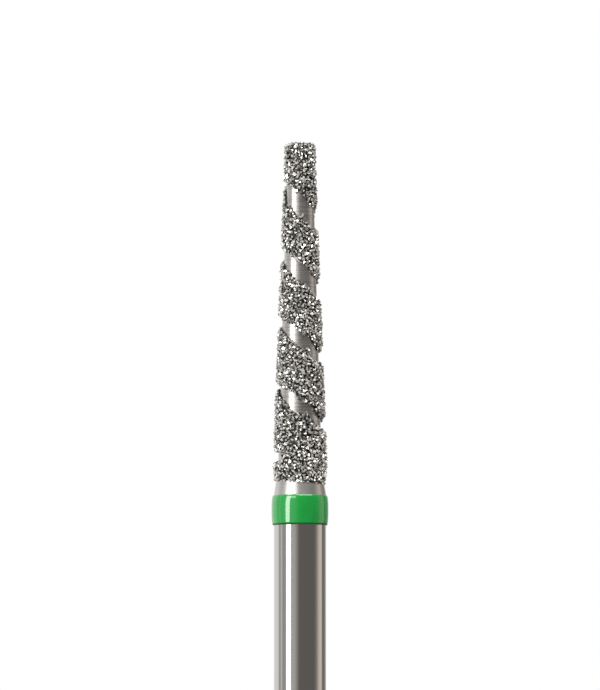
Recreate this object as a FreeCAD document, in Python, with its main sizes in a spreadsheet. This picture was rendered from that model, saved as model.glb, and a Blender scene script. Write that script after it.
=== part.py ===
import FreeCAD, Part

import math
import os
import random

import Sketcher
from FreeCAD import Vector

# A friction-grip dental bur, in millimetres. It stands along +Z with the centre of the shank's end face
# at the origin, so the head is at the top. The front of the bur faces -Y and +X is to its right.

# Driving sizes. Every other length in the model comes from these.
SIZES = {
    # Steel blank: a plain shank, a short neck and the long tapered core that carries the grit.
    "shank_diameter": 1.60,
    "shank_length": 11.15,
    "shank_chamfer": 0.15,
    "neck_length": 0.79,
    "core_base_diameter": 1.34,
    "core_length": 9.94,
    "core_tip_diameter": 0.755,
    # Colour ring: a thin barrel-shaped band that ends flush with the top of the shank. Its wall is thickest
    # half way up and thins towards both edges.
    "ring_width": 0.92,
    "ring_wall": 0.0725,
    "ring_edge_wall": 0.065,
    "ring_edge_radius": 0.055,
    # Diamond coating: mean thickness of the layer, and how it ends at the tip and on the neck.
    "coat_base_thickness": 0.175,
    "coat_tip_thickness": 0.10,
    "coat_end_thickness": 0.12,
    "coat_corner_radius": 0.15,
    "coat_overrun": 0.42,
    "coat_foot_height": 0.52,
    "coat_foot_thickness": 0.05,
    "coat_foot_slant": 0.07,
    "coat_foot_raggedness": 0.03,
    # Grains: their spacing over the surface, and how far each stands above or below the mean layer.
    "grain_spacing": 0.16,
    "grain_relief": 0.035,
    # Bare strip: a left-hand spiral of uncoated steel that winds down the head.
    "strip_pitch": 2.07,
    "strip_width": 0.45,
    "strip_side_lean": 0.02,
    "strip_start_drop": 0.42,
    "strip_start_angle": 4.0,
}

# The strip's ragged edges. Each entry has a number of turns from the strip's start, and how far the strip
# then reaches above and below its middle, as shares of half its width. Where the two cancel out, there
# is no strip.
STRIP_EDGES = [
    (0.00, -1.00, 1.00),
    (0.14, 1.00, 1.00),
    (0.40, 1.00, 1.20),
    (0.54, 1.02, 1.78),
    (0.60, 1.16, 1.33),
    (0.63, 1.29, 1.11),
    (0.67, 1.29, 1.47),
    (0.70, 1.11, 1.60),
    (0.74, 1.29, 1.24),
    (0.78, 1.20, 0.71),
    (0.80, 1.07, 1.33),
    (0.82, 0.67, 1.73),
    (0.90, 0.98, 1.73),
    (0.95, 1.42, 1.30),
    (1.00, 1.90, 0.60),
    (1.04, 1.80, 0.60),
    (1.12, 1.20, 1.00),
    (1.30, 0.95, 1.10),
    (1.49, 0.75, 0.90),
    (1.53, 0.89, 0.62),
    (1.58, 0.98, 0.84),
    (1.62, 1.29, 0.84),
    (1.66, 1.20, 0.93),
    (1.70, 1.20, 1.24),
    (1.73, 1.02, 1.07),
    (1.79, 1.29, 1.11),
    (1.82, 0.93, 1.38),
    (1.86, 0.84, 1.51),
    (1.90, 0.58, 1.78),
    (1.95, 1.20, 1.55),
    (2.00, 1.55, 1.15),
    (2.04, 1.50, 1.10),
    (2.12, 1.10, 1.00),
    (2.30, 1.05, 0.90),
    (2.44, 0.90, 0.75),
    (2.54, 0.84, 0.44),
    (2.59, 0.84, 0.53),
    (2.62, 1.07, 0.62),
    (2.66, 1.24, 0.71),
    (2.70, 1.24, 0.93),
    (2.73, 0.98, 0.80),
    (2.76, 0.44, 0.80),
    (2.79, 0.58, 0.58),
    (2.81, 0.89, 0.49),
    (2.83, 0.93, 1.60),
    (2.86, 0.62, 1.60),
    (2.89, 0.22, 1.38),
    (2.92, 0.10, 1.29),
    (2.95, 0.55, 0.98),
    (3.00, 1.00, 0.76),
    (3.12, 1.00, 0.95),
    (3.30, 0.95, 1.05),
    (3.44, 1.00, 0.60),
    (3.54, 1.07, 0.27),
    (3.59, 1.16, 0.40),
    (3.63, 1.16, 0.49),
    (3.66, 1.29, 0.84),
    (3.69, 1.24, 1.02),
    (3.72, 1.02, 0.76),
    (3.75, 0.58, 0.89),
    (3.77, 0.62, 0.36),
    (3.80, 0.89, 0.02),
    (3.82, 0.80, 0.67),
    (3.85, 0.71, 1.11),
    (3.88, 0.44, 1.20),
    (3.91, 0.10, 1.16),
    (3.95, 0.35, 0.89),
    (4.00, 0.85, 0.50),
    (4.12, 0.90, 0.90),
    (4.30, 0.85, 0.85),
    (4.49, 0.75, 0.68),
    (4.55, 1.24, 0.00),
    (4.58, 1.30, -0.45),
    (4.61, 1.00, -1.00),
]

# The grains come out the same in every build.
GRAIN_SEED = 11

# The coating is first shaped as a solid head, then cut by the blank. Surfaces that the cut takes away
# lie this far inside the steel.
INSIDE_STEEL = 0.1

# Points closer together than this are one point, when facets are joined into a skin.
SAME_POINT = 0.0001

doc = FreeCAD.newDocument("dental_bur")

sheet = doc.addObject("Spreadsheet::Sheet", "sizes")
for row, (name, value) in enumerate(SIZES.items(), start=1):
    sheet.set(f"A{row}", name)
    sheet.set(f"B{row}", str(value))
    sheet.setAlias(f"B{row}", name)
doc.recompute()


def size(name):
    """A driving size, read from the sheet."""
    return float(sheet.get(name))


# Turned pieces


def bind_corner(sketch, side, direction, axis, expression):
    """Holds the start of a side at a distance from the sketch's origin, or on an axis where that is 0."""
    if expression == "0":
        sketch.addConstraint(Sketcher.Constraint("PointOnObject", side, 1, axis))
        return
    distance = float(sketch.evalExpression(expression))
    held = sketch.addConstraint(Sketcher.Constraint(direction, -1, 1, side, 1, distance))
    sketch.setExpression(f"Constraints[{held}]", expression)


def turned_body(label, corners):
    """A body turned about Z from a half-profile whose corners are (radius, height) expressions."""
    body = doc.addObject("PartDesign::Body", label)
    plane = next(f for f in body.Origin.OriginFeatures if f.Role == "XZ_Plane")
    profile = body.newObject("Sketcher::SketchObject", f"{label}_profile")
    profile.AttachmentSupport = [(plane, "")]
    profile.MapMode = "FlatFace"
    spots = [
        Vector(float(profile.evalExpression(r)), float(profile.evalExpression(z)), 0)
        for r, z in corners
    ]
    for start, end in zip(spots, spots[1:] + spots[:1]):
        profile.addGeometry(Part.LineSegment(start, end))
    for side in range(len(corners)):
        following = (side + 1) % len(corners)
        profile.addConstraint(Sketcher.Constraint("Coincident", side, 2, following, 1))
    for side, (radius, height) in enumerate(corners):
        bind_corner(profile, side, "DistanceX", -2, radius)
        bind_corner(profile, side, "DistanceY", -1, height)
    turning = body.newObject("PartDesign::Revolution", f"{label}_turned")
    turning.Profile = profile
    turning.ReferenceAxis = (profile, ["V_Axis"])
    turning.Angle = 360
    doc.recompute()
    return body


def make_steel_blank():
    """Shank, neck and tapered core, turned from one bar, with a chamfered shank end."""
    core_base = "sizes.shank_length + sizes.neck_length"
    core_tip = f"{core_base} + sizes.core_length"
    return turned_body(
        "steel_blank",
        [
            ("0", "0"),
            ("sizes.shank_diameter / 2 - sizes.shank_chamfer", "0"),
            ("sizes.shank_diameter / 2", "sizes.shank_chamfer"),
            ("sizes.shank_diameter / 2", "sizes.shank_length"),
            ("sizes.core_base_diameter / 2", core_base),
            ("sizes.core_tip_diameter / 2", core_tip),
            ("0", core_tip),
        ],
    )


def make_colour_ring():
    """A thin barrel round the shank with soft outer edges, its top flush with the foot of the neck."""
    bore = "sizes.shank_diameter / 2"
    rim = f"{bore} + sizes.ring_edge_wall"
    crown = f"{bore} + sizes.ring_wall"
    body = turned_body(
        "colour_ring",
        [
            (bore, "0"),
            (rim, "0"),
            (crown, "sizes.ring_width / 2"),
            (rim, "sizes.ring_width"),
            (bore, "sizes.ring_width"),
        ],
    )
    rim_radius = size("shank_diameter") / 2 + size("ring_edge_wall")
    turned = body.Tip
    rims = [
        f"Edge{number}"
        for number, edge in enumerate(turned.Shape.Edges, start=1)
        if isinstance(edge.Curve, Part.Circle) and abs(edge.Curve.Radius - rim_radius) < SAME_POINT
    ]
    softened = body.newObject("PartDesign::Fillet", "colour_ring_softened")
    softened.Base = (turned, rims)
    softened.setExpression("Radius", "sizes.ring_edge_radius")
    body.setExpression("Placement.Base.z", "sizes.shank_length - sizes.ring_width")
    doc.recompute()
    return body


# Heights and radii that the coating follows


def between(at, low, high, at_low, at_high):
    """The value at a height on the straight line from (low, at_low) to (high, at_high)."""
    return at_low + (at_high - at_low) * (at - low) / (high - low)


def steel_radius(z):
    """Radius of the neck or of the tapered core at a height."""
    neck_base = size("shank_length")
    core_base = neck_base + size("neck_length")
    waist = size("core_base_diameter") / 2
    if z < core_base:
        return between(z, neck_base, core_base, size("shank_diameter") / 2, waist)
    core_tip = core_base + size("core_length")
    return between(z, core_base, core_tip, waist, size("core_tip_diameter") / 2)


def coat_heights():
    """The mean height of the coating's foot, the height where its full thickness starts, and its top."""
    core_base = size("shank_length") + size("neck_length")
    foot = core_base - size("coat_overrun")
    top = core_base + size("core_length") + size("coat_end_thickness")
    return foot, foot + size("coat_foot_height"), top


def coat_radius(z):
    """Mean outer radius of the coating: it thins towards the tip, and feathers out on the neck."""
    foot, full, top = coat_heights()
    if z < full:
        foot_radius = steel_radius(foot) + size("coat_foot_thickness")
        full_radius = steel_radius(full) + size("coat_base_thickness")
        return between(z, foot, full, foot_radius, full_radius)
    thickness = between(z, full, top, size("coat_base_thickness"), size("coat_tip_thickness"))
    return steel_radius(z) + thickness


class Skin:
    """A closed skin of flat facets, gathered point by point."""

    def __init__(self):
        self.points = []
        self.facets = []

    def point(self, radius, angle, z):
        """Adds a point, given round the Z axis, and returns its number."""
        self.points.append(Vector(radius * math.cos(angle), radius * math.sin(angle), z))
        return len(self.points) - 1

    def facet(self, a, b, c):
        """Adds a facet, unless two of its corners are one point."""
        if len({a, b, c}) == 3:
            self.facets.append((a, b, c))

    def quad(self, upper_left, upper_right, lower_left, lower_right, fold):
        """Adds two facets that fold along one of the quad's diagonals."""
        if fold:
            self.facet(upper_left, lower_left, lower_right)
            self.facet(upper_left, lower_right, upper_right)
        else:
            self.facet(upper_left, lower_left, upper_right)
            self.facet(lower_left, lower_right, upper_right)

    def solid(self):
        """The solid that the skin encloses."""
        shape = Part.Shape()
        shape.makeShapeFromMesh((self.points, self.facets), SAME_POINT)
        return Part.Solid(Part.Shell(shape.Faces))


class GritHead:
    """The head as a solid body with a grainy skin and a spiral groove that reaches into the steel.

    The skin is laid like a tape wound round the head, one turn to each pitch of the bare strip. A column
    is one step round the axis. Down each column run the strip's upper and lower edge and then the rows
    of grains, as far as the strip's upper edge one turn further on.
    """

    UPPER_EDGE, LOWER_EDGE, FIRST_GRAIN = range(3)

    def __init__(self):
        self.chance = random.Random(GRAIN_SEED)
        self.skin = Skin()
        self.foot, self.full, self.top = coat_heights()
        self.rim = self.top - size("coat_corner_radius")
        self.spacing = size("grain_spacing")
        mean_radius = (coat_radius(self.full) + coat_radius(self.rim)) / 2
        self.columns = 2 * max(3, round(math.pi * mean_radius / self.spacing))
        self.pitch = size("strip_pitch")
        self.lean = size("strip_side_lean")
        self.grain_rows = max(1, round((self.pitch - size("strip_width")) / self.spacing))
        self.rows = self.FIRST_GRAIN + self.grain_rows + 1
        self.strip_start = self.top - size("strip_start_drop")
        self.placed = {}

    def spread(self, amount):
        """A random amount to either side of nothing."""
        return self.chance.uniform(-amount, amount)

    def grain(self, radius, angle, z):
        """Places the point of one grain, above or below the mean surface."""
        return self.skin.point(radius + self.spread(size("grain_relief")), angle, z)

    def angle(self, column, shift=0.0):
        """The angle of a column, moved by a share of a column."""
        start = math.radians(size("strip_start_angle"))
        return start + 2 * math.pi * (column + shift) / self.columns

    def strip_middle(self, column):
        """Height of the middle of the bare strip at a column."""
        return self.strip_start - self.pitch * column / self.columns

    def strip_edges(self, column):
        """How far the strip reaches above and below its middle at a column, or None where there is none."""
        turns = column / self.columns
        half = size("strip_width") / 2
        for (start, *low), (end, *high) in zip(STRIP_EDGES, STRIP_EDGES[1:]):
            if start <= turns < end:
                above, below = (half * between(turns, start, end, a, b) for a, b in zip(low, high))
                return (above, below) if above + below > 4 * self.lean else None
        return None

    def row_height(self, column, row):
        """Height of a row of the tape at a column."""
        middle = self.strip_middle(column)
        here = self.strip_edges(column)
        above, below = here or (self.spacing / 2, self.spacing / 2)
        lean = self.lean if here else 0
        if row == self.UPPER_EDGE:
            return middle + above - lean
        if row == self.LOWER_EDGE:
            return middle - below + lean
        ahead = self.strip_edges(column + self.columns)
        first = middle - (below if here else 1.5 * self.spacing)
        last = middle - self.pitch + (ahead[0] if ahead else 1.5 * self.spacing)
        return between(row - self.FIRST_GRAIN, 0, self.grain_rows, first, last)

    def foot_height(self, column):
        """Height of the coating's lower edge, which lies higher on the left than on the right."""
        return self.foot - size("coat_foot_slant") * math.cos(self.angle(column))

    def tape_point(self, column, row):
        """The number of the point at a column and row, placed when it is first asked for."""
        if row == self.rows:
            return self.tape_point(column + self.columns, self.UPPER_EDGE)
        z = self.row_height(column, row)
        if z > self.rim - self.spacing / 2:
            return self.placed["rim", column % self.columns]
        if z < self.foot_height(column) + self.spacing / 2:
            return self.placed["foot", column % self.columns]
        if (column, row) not in self.placed:
            self.placed[column, row] = self.new_tape_point(column, row, z)
        return self.placed[column, row]

    def new_tape_point(self, column, row, z):
        """Places a point of the groove's floor, of a ragged edge or of a free grain."""
        on_edge = row in (self.UPPER_EDGE, self.LOWER_EDGE)
        if on_edge and self.strip_edges(column):
            return self.skin.point(steel_radius(z) - INSIDE_STEEL, self.angle(column), z)
        if on_edge or row in (self.FIRST_GRAIN, self.rows - 1):
            return self.grain(coat_radius(z), self.angle(column), z)
        shifted = self.angle(column, self.spread(0.25))
        return self.grain(coat_radius(z), shifted, z + self.spread(self.spacing / 4))

    def ring(self, name, inset, drop, every=1):
        """A ring of grains on the head's end, inset from its side and dropped from its top."""
        radius = coat_radius(self.rim) - inset
        for column in range(0, self.columns, every):
            height = self.top - drop + self.spread(size("grain_relief") / 2)
            self.placed[name, column] = self.grain(radius, self.angle(column), height)

    def place_ends(self):
        """Places the grains of the rounded corner, of the flat end and of the foot on the neck."""
        corner = size("coat_corner_radius")
        eased = corner * (1 - math.cos(math.pi / 4))
        self.ring("rim", 0, corner)
        self.ring("corner", eased, eased)
        self.ring("end", corner, 0)
        self.ring("inner", (coat_radius(self.rim) + corner) / 2, 0, every=2)
        for column in range(self.columns):
            z = self.foot_height(column) + self.spread(size("coat_foot_raggedness"))
            radius = steel_radius(z) + size("coat_foot_thickness")
            self.placed["foot", column] = self.skin.point(radius, self.angle(column), z)
        self.placed["end centre"] = self.skin.point(0, 0, self.top)
        self.placed["foot centre"] = self.skin.point(0, 0, self.foot + INSIDE_STEEL)

    def join_ends(self):
        """Joins the rings of the flat end, and closes the foot inside the steel."""
        facet = self.skin.facet
        spot = self.placed
        for column in range(self.columns):
            nearby = (column + 1) % self.columns
            for low, high in (("rim", "corner"), ("corner", "end")):
                upper = (spot[high, column], spot[high, nearby])
                lower = (spot[low, column], spot[low, nearby])
                self.skin.quad(*upper, *lower, column % 2)
            facet(spot["foot", nearby], spot["foot", column], spot["foot centre"])
        for column in range(0, self.columns, 2):
            middle = column + 1
            far = (column + 2) % self.columns
            facet(spot["end", column], spot["end", middle], spot["inner", column])
            facet(spot["end", middle], spot["inner", far], spot["inner", column])
            facet(spot["end", middle], spot["end", far], spot["inner", far])
            facet(spot["inner", column], spot["inner", far], spot["end centre"])

    def solid(self):
        """Winds the tape from above the rim to below the foot, joins the ends and fills the skin."""
        self.place_ends()
        turns_above = math.ceil((self.top - self.strip_start) / self.pitch) + 1
        turns_below = math.ceil((self.strip_start - self.foot) / self.pitch) + 1
        for column in range(-turns_above * self.columns, turns_below * self.columns):
            for row in range(self.rows):
                upper = (self.tape_point(column, row), self.tape_point(column + 1, row))
                lower = (self.tape_point(column, row + 1), self.tape_point(column + 1, row + 1))
                self.skin.quad(*upper, *lower, (column + row) % 2)
        self.join_ends()
        return self.skin.solid()


def make_diamond_coating(blank):
    """Diamond grains in a plated layer: the grainy head, cut by the blank that it is plated onto."""
    head = doc.addObject("Part::Feature", "grit_head")
    head.Shape = GritHead().solid()
    head.Placement = FreeCAD.Placement()
    coating = doc.addObject("Part::Cut", "diamond_coating")
    coating.Base = head
    coating.Tool = blank
    doc.recompute()
    return coating


def check_document():
    """Stops the build if any object of the document failed."""
    for item in doc.Objects:
        if "Invalid" in item.State or "Error" in item.State:
            raise RuntimeError(f"{item.Label} failed: {item.State}")


def check_piece(piece):
    """Stops the build if a piece is missing, broken or not one solid."""
    shape = piece.Shape
    if shape.isNull() or not shape.isValid():
        raise RuntimeError(f"{piece.Label} has no valid shape")
    if len(shape.Solids) != 1 or shape.Volume <= 0:
        raise RuntimeError(f"{piece.Label} is not one solid")


blank = make_steel_blank()
pieces = [blank, make_colour_ring(), make_diamond_coating(blank)]
doc.recompute()

check_document()
os.makedirs("parts", exist_ok=True)
for piece in pieces:
    piece.Label = piece.Name
    check_piece(piece)
for piece in pieces:
    piece.Shape.exportStep(f"parts/{piece.Label}.step")
    box = piece.Shape.BoundBox
    print(f"{piece.Label}: {piece.Shape.Volume:.3f} mm3, z {box.ZMin:.3f} to {box.ZMax:.3f}")
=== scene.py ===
import itertools
import math
import random

import bmesh
import bpy
from bpy.props import FloatProperty, FloatVectorProperty, IntProperty, PointerProperty
from bpy.types import Operator, Panel, PropertyGroup
from mathutils import Euler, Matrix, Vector


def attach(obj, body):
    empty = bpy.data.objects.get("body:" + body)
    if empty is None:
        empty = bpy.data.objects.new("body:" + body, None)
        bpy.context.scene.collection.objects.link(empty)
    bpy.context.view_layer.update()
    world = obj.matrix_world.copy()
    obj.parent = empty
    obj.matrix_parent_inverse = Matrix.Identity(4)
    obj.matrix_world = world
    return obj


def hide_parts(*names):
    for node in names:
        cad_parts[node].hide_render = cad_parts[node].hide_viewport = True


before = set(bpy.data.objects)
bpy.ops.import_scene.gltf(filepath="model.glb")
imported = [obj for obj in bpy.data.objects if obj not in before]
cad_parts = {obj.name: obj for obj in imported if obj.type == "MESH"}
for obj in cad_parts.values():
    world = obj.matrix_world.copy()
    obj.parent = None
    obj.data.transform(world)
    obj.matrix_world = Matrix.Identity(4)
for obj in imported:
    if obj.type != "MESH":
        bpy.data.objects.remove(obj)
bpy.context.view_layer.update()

bl_info = {
    "name": "Dental bur",
    "version": (1, 0, 0),
    "blender": (4, 5, 0),
    "location": "3D View > Sidebar > Dental bur",
    "description": "Makes a tapered diamond bur with a bare spiral strip, and its studio",
    "category": "Add Mesh",
}

# The bur stands along +Z with the centre of the shank's end face at the origin. Its front faces
# -Y and +X is to its right. Everything is in metres.
MM = 0.001
MICRON = 0.000001
FULL_TURN = 2 * math.pi


# Properties


def length(name, millimetres, description):
    """A size that the user may change, given in millimetres."""
    return FloatProperty(
        name=name,
        description=description,
        default=millimetres * MM,
        min=0.0,
        precision=6,
        unit="LENGTH",
    )


def count(name, number, description):
    """A whole number that the user may change."""
    return IntProperty(name=name, description=description, default=number, min=1)


def share(name, value, description):
    """A number without a unit that the user may change."""
    return FloatProperty(name=name, description=description, default=value, min=0.0, precision=3)


def angle(name, degrees, description):
    """An angle that the user may change, given in degrees."""
    return FloatProperty(
        name=name, description=description, default=math.radians(degrees), subtype="ANGLE"
    )


def linear(code):
    """An sRGB hex value as the linear colour that Blender's sockets hold."""
    levels = [int(code[at : at + 2], 16) / 255 for at in (0, 2, 4)]
    return tuple(v / 12.92 if v <= 0.04045 else ((v + 0.055) / 1.055) ** 2.4 for v in levels)


def colour(name, code, description):
    """A colour that the user may change, given as an sRGB hex value."""
    return FloatVectorProperty(
        name=name,
        description=description,
        default=linear(code),
        subtype="COLOR",
        size=3,
        min=0.0,
        max=1.0,
    )


class BurBlankSizes(PropertyGroup):
    """Sizes of the turned steel blank."""

    shank_radius: length("Shank radius", 0.80, "Radius of the friction-grip shank")
    shank_length: length("Shank length", 11.15, "Height of the shank, up to the foot of the neck")
    shank_chamfer: length("Shank chamfer", 0.15, "Width and height of the end's chamfer")
    neck_length: length("Neck length", 0.79, "Height of the cone between shank and core")
    core_base_radius: length("Core base radius", 0.67, "Radius of the core where the neck ends")
    core_length: length("Core length", 9.94, "Height of the tapered core")
    core_tip_radius: length("Core tip radius", 0.3775, "Radius of the core at its tip")
    edge_break: length("Edge break", 0.02, "Radius of the blank's softened edges")
    facets: count("Facets", 240, "Number of facets round the blank and the ring")


class BurRingSizes(PropertyGroup):
    """Sizes of the colour ring."""

    width: length("Width", 0.92, "Height of the ring along the shank")
    wall: length("Wall", 0.0725, "Greatest thickness of the lacquer, half way up the ring")
    bulge: length("Bulge", 0.0075, "How much of that thickness is lost towards both edges")
    squareness: share("Squareness", 3.4, "Two gives an oval wall, and more gives squarer shoulders")


class BurCoatSizes(PropertyGroup):
    """Sizes of the coating and of the bare strip that winds through it."""

    base_thickness: length("Base thickness", 0.175, "Thickness of the coating at its wide end")
    tip_thickness: length("Tip thickness", 0.10, "Thickness of the coating on the tip's side")
    end_thickness: length("End thickness", 0.12, "Thickness of the coating on the flat end")
    corner_radius: length("Corner radius", 0.15, "Radius of the corner round the flat end")
    end_dome: length("End dome", 0.04, "How far the flat end falls from its middle to its edge")
    overrun: length("Overrun", 0.42, "How far the coating runs down onto the neck")
    foot_height: length("Foot height", 0.52, "Height over which the coating grows thick")
    foot_thickness: length("Foot thickness", 0.05, "Thickness of the coating at its lower edge")
    foot_slant: length("Foot slant", 0.07, "How much higher the lower edge is on the left")
    strip_pitch: length("Strip pitch", 2.07, "Height that the bare strip falls in one turn")
    strip_width: length("Strip width", 0.45, "Width of the bare strip along the axis")
    strip_start_drop: length("Strip start drop", 0.42, "Depth of the strip's start under the top")
    strip_start_angle: angle("Strip start angle", 4.0, "Angle of the strip's start round the axis")


class BurGrainSizes(PropertyGroup):
    """Sizes of the diamond grains and of the nickel that holds them."""

    largest: length("Largest grain", 0.17, "Mean width of the largest grains")
    smallest: length("Smallest grain", 0.07, "Mean width of the smallest grains")
    relief: length("Relief", 0.035, "How far the grains' tops differ from the mean surface")
    bed_depth: length("Bed depth", 0.085, "Depth of the nickel's surface under the grains' tops")
    bed_ripple: length("Bed ripple", 0.012, "Unevenness of the nickel's surface")
    shoulder: length("Shoulder", 0.16, "Width over which the grains sink towards the bare strip")
    wall_inset: length("Wall inset", 0.09, "How far the nickel keeps back from the bare strip")
    seed: count("Seed", 5, "Another number gives other grains")


class BurFinishes(PropertyGroup):
    """Colours of the bur's materials."""

    steel: colour("Steel", "CBC8C4", "Polished stainless steel")
    lacquer: colour("Lacquer", "07983A", "Green of the colour ring")
    nickel: colour("Nickel", "45423D", "Plated nickel between the grains")
    # Each facet takes a grey between these two, which is painted light.
    diamond_dark: colour("Dark facets", "24221F", "Darkest facets of the diamond grains")
    diamond_light: colour("Light facets", "F6F3EC", "Lightest facets of the diamond grains")


class BurStudio(PropertyGroup):
    """The floor, the light and the camera."""

    camera_distance: length("Camera distance", 200.0, "Distance of the camera from the bur's axis")
    camera_height: length("Camera height", 1.3, "Height of the camera above the floor")
    aim_height: length("Aim height", 15.76, "Height on the axis that the camera looks at")
    view_height: length("View height", 21.13, "Height of the picture where the bur stands")
    floor_radius: length("Floor radius", 20.0, "Radius of the floor")
    lamp_distance: length("Lamp distance", 300.0, "Distance of the lamps from the bur")
    gauze_distance: length("Gauze distance", 2000.0, "Distance of the grey gauze from the bur")
    floor: colour("Floor", "F4F3F1", "Matt white board that the bur stands on")
    softbox_level: share("Softbox level", 6.0, "Radiance of the softbox, where 1 is plain white")
    panel_level: share("Panel level", 3.0, "Radiance of the panel beside the softbox's top")
    overhead_level: share("Overhead level", 4.5, "Radiance of the overhead light")


# Materials


def add_node(tree, kind, values=None, links=None, **settings):
    """Adds a shader node with its settings, the values of its sockets and the links into it."""
    node = tree.nodes.new("ShaderNode" + kind)
    for name, setting in settings.items():
        setattr(node, name, setting)
    for socket, value in (values or {}).items():
        node.inputs[socket].default_value = value
    for socket, source in (links or {}).items():
        tree.links.new(source, node.inputs[socket])
    return node


def opaque(rgb):
    """A colour with full alpha."""
    return (*rgb, 1.0)


def new_material(name):
    """An empty material in place of any earlier one, its node tree and the place on its object."""
    earlier = bpy.data.materials.get(name)
    if earlier:
        bpy.data.materials.remove(earlier)
    material = bpy.data.materials.new(name)
    material.use_nodes = True
    tree = material.node_tree
    tree.nodes.clear()
    return material, tree, add_node(tree, "TexCoord").outputs["Object"]


def finish_surface(material, shader):
    """Ends a material with its surface output."""
    add_node(material.node_tree, "OutputMaterial", links={"Surface": shader.outputs[0]})
    return material


def set_stops(ramp, stops):
    """Sets a colour ramp from (position, linear colour) pairs."""
    elements = ramp.color_ramp.elements
    while len(elements) > 1:
        elements.remove(elements[-1])
    for number, (position, rgb) in enumerate(stops):
        stop = elements[0] if number == 0 else elements.new(position)
        stop.position = position
        stop.color = opaque(rgb)


def add_relief(tree, place, width, detail, depth, strength=1.0, roughness=0.5):
    """Unevenness of a real width and depth, as its noise and the normal that its bumps give."""
    noise = add_node(
        tree,
        "TexNoise",
        {"Scale": 1 / width, "Detail": detail, "Roughness": roughness},
        {"Vector": place},
    )
    bump = add_node(
        tree, "Bump", {"Strength": strength, "Distance": depth}, {"Height": noise.outputs["Fac"]}
    )
    return noise.outputs["Fac"], bump.outputs["Normal"]


def make_turned_steel():
    """Stainless steel, ground and polished on the shank, and left as turned above it.

    The shank mirrors the studio in upright bands, and fine lines run round the neck and core.
    """
    blank = bpy.context.scene.bur_blank
    steel = bpy.context.scene.bur_finishes.steel
    material, tree, place = new_material("turned_stainless_steel")
    # Turning leaves a groove for each 0.02 mm of feed. They are drawn 0.05 mm apart to show, and
    # each is even for about 4 mm round the axis.
    per_groove = (1 / (4 * MM), 1 / (4 * MM), 1 / (0.05 * MM))
    squeezed = add_node(tree, "VectorMath", {1: per_groove}, {0: place}, operation="MULTIPLY")
    grooves, normal = add_relief(tree, squeezed.outputs[0], 1.0, 3.0, 0.5 * MICRON, roughness=0.6)
    height = add_node(tree, "SeparateXYZ", links={0: place}).outputs["Z"]
    turned = blank.shank_length
    roughness = add_node(
        tree, "MapRange", {1: turned - 0.05 * MM, 2: turned, 3: 0.06, 4: 0.31}, {0: height}
    )
    worn = add_node(
        tree, "Math", {1: 0.04}, {0: grooves, 2: roughness.outputs[0]}, operation="MULTIPLY_ADD"
    )
    dull = add_node(tree, "ValToRGB", links={0: grooves})
    set_stops(dull, [(0.4, [0.7 * v for v in steel]), (0.58, steel)])
    # The grooves grow dark from the neck's foot to the core.
    lined = add_node(tree, "MapRange", {1: turned, 2: turned + blank.neck_length}, {0: height})
    tint = add_node(
        tree,
        "Mix",
        {6: opaque(steel)},
        {0: lined.outputs[0], 7: dull.outputs["Color"]},
        data_type="RGBA",
    )
    shader = add_node(
        tree,
        "BsdfPrincipled",
        {"Metallic": 1.0},
        {"Base Color": tint.outputs[2], "Roughness": worn.outputs[0], "Normal": normal},
    )
    return finish_surface(material, shader)


def make_lacquer():
    """Stoved epoxy lacquer, brushed into a band and shiny: deep green with a sharp reflection."""
    blank = bpy.context.scene.bur_blank
    ring = bpy.context.scene.bur_ring
    lacquer = bpy.context.scene.bur_finishes.lacquer
    material, tree, place = new_material("stoved_epoxy_lacquer")
    # The pigment is a little uneven over about 0.4 mm.
    pigment = add_node(
        tree, "TexNoise", {"Scale": 1 / (0.4 * MM), "Detail": 2.0}, {"Vector": place}
    )
    tint = add_node(tree, "ValToRGB", links={0: pigment.outputs["Fac"]})
    set_stops(tint, [(0.3, [0.93 * v for v in lacquer]), (0.7, [1.05 * v for v in lacquer])])
    # Flow marks in the cured film are about 0.15 mm across and well under a micron deep.
    normal = add_relief(tree, place, 0.15 * MM, 1.0, 0.3 * MICRON)[1]
    # Along its lower edge the green is darkened in a thin line, a painted contact shadow, and the
    # clear coat thins out there too.
    height = add_node(tree, "SeparateXYZ", links={0: place}).outputs["Z"]
    edge = blank.shank_length - ring.width
    painted_edge_shade_and_coat = add_node(
        tree, "MapRange", {1: edge + 0.03 * MM, 2: edge + 0.07 * MM, 3: 0.2}, {0: height}
    ).outputs[0]
    green = add_node(
        tree, "VectorMath", links={0: tint.outputs["Color"], "Scale": painted_edge_shade_and_coat}, operation="SCALE"
    )
    shader = add_node(
        tree,
        "BsdfPrincipled",
        {
            "Roughness": 0.4,
            "IOR": 1.5,
            "Specular IOR Level": 0.1,
            "Coat Roughness": 0.05,
            "Coat IOR": 1.8,
        },
        {"Base Color": green.outputs[0], "Coat Weight": painted_edge_shade_and_coat, "Normal": normal},
    )
    return finish_surface(material, shader)


def make_nickel():
    """Electroplated nickel, as it grows between the grains: matt, dark and nodular."""
    nickel = bpy.context.scene.bur_finishes.nickel
    material, tree, place = new_material("electroplated_nickel")
    # Nodules of about 0.03 mm, two to a wave of the noise.
    nodules, normal = add_relief(tree, place, 0.06 * MM, 2.0, 12 * MICRON)
    tint = add_node(tree, "ValToRGB", links={0: nodules})
    set_stops(tint, [(0.35, [0.5 * v for v in nickel]), (0.65, nickel)])
    shader = add_node(
        tree,
        "BsdfPrincipled",
        {"Metallic": 0.85, "Roughness": 0.5},
        {"Base Color": tint.outputs["Color"], "Normal": normal},
    )
    return finish_surface(material, shader)


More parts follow.
